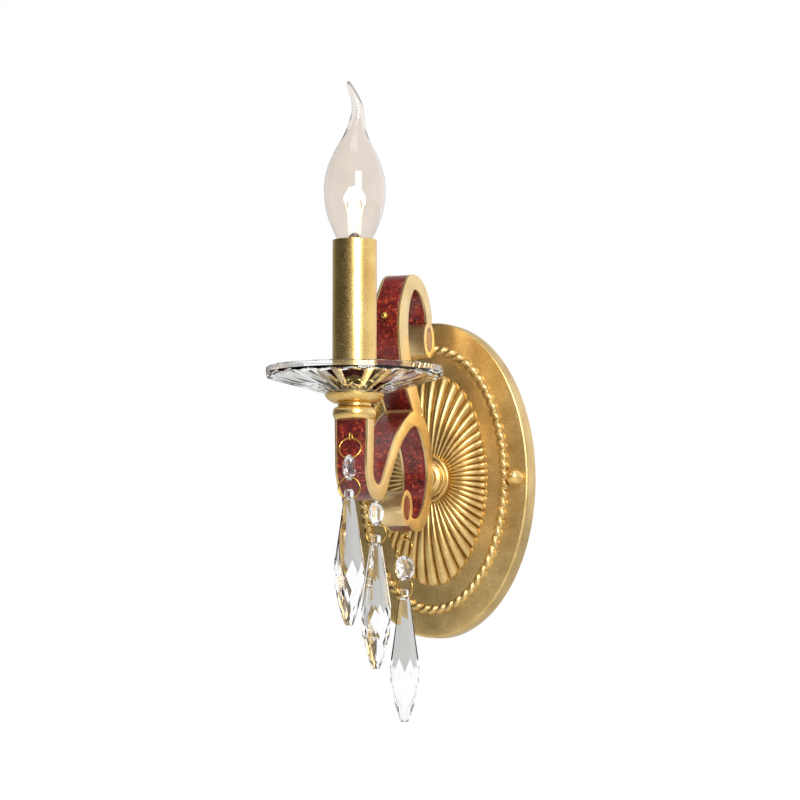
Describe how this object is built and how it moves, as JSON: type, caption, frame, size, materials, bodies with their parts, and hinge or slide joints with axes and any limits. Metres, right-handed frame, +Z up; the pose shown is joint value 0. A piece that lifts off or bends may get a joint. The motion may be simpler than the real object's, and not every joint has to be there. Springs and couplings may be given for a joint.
{
  "type": "wall sconce",
  "caption": "Candle-arm wall sconce with an oval fluted plate, enamelled scroll arm, cut glass drip dish, flame-tip bulb and crystal pendants.",
  "frame": {"origin": "centre of the mounting bar's back face, on the wall", "axes": "+Z up, the wall is the plane Y = 0 and the front faces -Y"},
  "size_m": [0.119, 0.178, 0.3598],
  "materials": {
    "gilt_brass": "satin",
    "gold_wire": "polished",
    "red_enamel": "glossy",
    "crystal": "clear",
    "bulb_glass": "clear",
    "zinc_steel": "zinc plated",
    "holder_plastic": "moulded",
    "block_plastic": "moulded",
    "lead_cover": "smooth",
    "bulb_cap_metal": "pressed",
    "bulb_base_glass": "black glass",
    "filament_wire": "drawn"
  },
  "bodies": {
    "wall_unit": {"arm_nut": "zinc_steel", "arm_screw": "gilt_brass", "back_plate": "gilt_brass", "candle_cup": "gilt_brass", "candle_sleeve": "gilt_brass", "earth_screw": "zinc_steel", "earth_washer": "zinc_steel", "enamel_diagonal": "red_enamel", "enamel_leg_and_loop": "red_enamel", "enamel_loop_back": "red_enamel", "enamel_loop_tail": "red_enamel", "enamel_roll_ends": "red_enamel", "enamel_scroll_inner": "red_enamel", "enamel_scroll_outer": "red_enamel", "glass_dish": "crystal", "lampholder_body": "holder_plastic", "lampholder_bracket": "zinc_steel", "lampholder_contacts": "bulb_cap_metal", "lampholder_screws": "zinc_steel", "mounting_bar": "zinc_steel", "mounting_studs": "zinc_steel", "nipple_nuts": "zinc_steel", "pendant_eyes": "gold_wire", "scroll_arm": "gilt_brass", "scroll_back_screw": "gilt_brass", "scroll_pin": "gilt_brass", "terminal_block": "block_plastic", "terminal_block_screw": "zinc_steel", "terminal_screws": "zinc_steel", "threaded_nipple": "zinc_steel", "twin_lead": "lead_cover"},
    "bulb": {"bulb_glass": "bulb_glass", "bulb_cap": "bulb_cap_metal", "bulb_insulator": "bulb_base_glass", "bulb_button": "bulb_cap_metal", "bulb_stem": "bulb_glass", "bulb_supports": "filament_wire", "bulb_filament": "filament_wire"},
    "left_cap_nut": {"cap_nut_left": "gilt_brass"},
    "right_cap_nut": {"cap_nut_right": "gilt_brass"},
    "front_upper_ring": {"front_upper_ring": "gold_wire"},
    "front_bead": {"front_bead": "crystal"},
    "front_lower_ring": {"front_lower_ring": "gold_wire"},
    "front_drop": {"front_drop": "crystal"},
    "middle_upper_ring": {"middle_upper_ring": "gold_wire"},
    "middle_bead": {"middle_bead": "crystal"},
    "middle_lower_ring": {"middle_lower_ring": "gold_wire"},
    "middle_drop": {"middle_drop": "crystal"},
    "back_upper_ring": {"back_upper_ring": "gold_wire"},
    "back_bead": {"back_bead": "crystal"},
    "back_lower_ring": {"back_lower_ring": "gold_wire"},
    "back_drop": {"back_drop": "crystal"}
  },
  "joints": [
    {"name": "front_upper_ring_swing", "type": "hinge", "parent": "wall_unit", "child": "front_upper_ring", "pos_m": [0.001, -0.13556, 0.01567], "axis": [-0.9781, -0.2079, 0], "range_deg": [0, 30]},
    {"name": "front_bead_swing", "type": "hinge", "parent": "front_upper_ring", "child": "front_bead", "pos_m": [0.00144, -0.13765, 0.0099], "axis": [0.195, -0.9175, 0.3466], "range_deg": [-4, 4]},
    {"name": "front_lower_ring_swing", "type": "hinge", "parent": "front_bead", "child": "front_lower_ring", "pos_m": [0.00189, -0.13973, -0.00645], "axis": [0.9781, 0.2079, 0], "range_deg": [-5, 5]},
    {"name": "front_drop_swing", "type": "hinge", "parent": "front_lower_ring", "child": "front_drop", "pos_m": [0.00189, -0.13973, -0.0126], "axis": [0.2079, -0.9781, 0], "range_deg": [-10, 10]},
    {"name": "middle_upper_ring_swing", "type": "hinge", "parent": "wall_unit", "child": "middle_upper_ring", "pos_m": [-0.001, -0.095, -0.00668], "axis": [1, 0, 0], "range_deg": [-4, 4]},
    {"name": "middle_bead_swing", "type": "hinge", "parent": "middle_upper_ring", "child": "middle_bead", "pos_m": [-0.001, -0.095, -0.01283], "axis": [0, -1, 0], "range_deg": [-10, 10]},
    {"name": "middle_lower_ring_swing", "type": "hinge", "parent": "middle_bead", "child": "middle_lower_ring", "pos_m": [-0.001, -0.095, -0.02956], "axis": [1, 0, 0], "range_deg": [-5, 5]},
    {"name": "middle_drop_swing", "type": "hinge", "parent": "middle_lower_ring", "child": "middle_drop", "pos_m": [-0.001, -0.095, -0.03571], "axis": [0, -1, 0], "range_deg": [-10, 10]},
    {"name": "back_upper_ring_swing", "type": "hinge", "parent": "wall_unit", "child": "back_upper_ring", "pos_m": [0, -0.0556, -0.03608], "axis": [0.9272, -0.3746, 0], "range_deg": [-4, 4]},
    {"name": "back_bead_swing", "type": "hinge", "parent": "back_upper_ring", "child": "back_bead", "pos_m": [0, -0.0556, -0.04223], "axis": [-0.3746, -0.9272, 0], "range_deg": [-10, 10]},
    {"name": "back_lower_ring_swing", "type": "hinge", "parent": "back_bead", "child": "back_lower_ring", "pos_m": [0, -0.0556, -0.05896], "axis": [0.9272, -0.3746, 0], "range_deg": [-5, 5]},
    {"name": "back_drop_swing", "type": "hinge", "parent": "back_lower_ring", "child": "back_drop", "pos_m": [0, -0.0556, -0.06511], "axis": [-0.3746, -0.9272, 0], "range_deg": [-10, 10]},
    {"name": "bulb_lift", "type": "slide", "parent": "wall_unit", "child": "bulb", "axis": [0, 0, 1], "range_m": [0, 0.04]},
    {"name": "left_cap_nut_turn", "type": "hinge", "parent": "wall_unit", "child": "left_cap_nut", "pos_m": [-0.053, -0.01225, 0], "axis": [0, -1, 0], "continuous": true},
    {"name": "right_cap_nut_turn", "type": "hinge", "parent": "wall_unit", "child": "right_cap_nut", "pos_m": [0.053, -0.01225, 0], "axis": [0, -1, 0], "continuous": true}
  ]
}
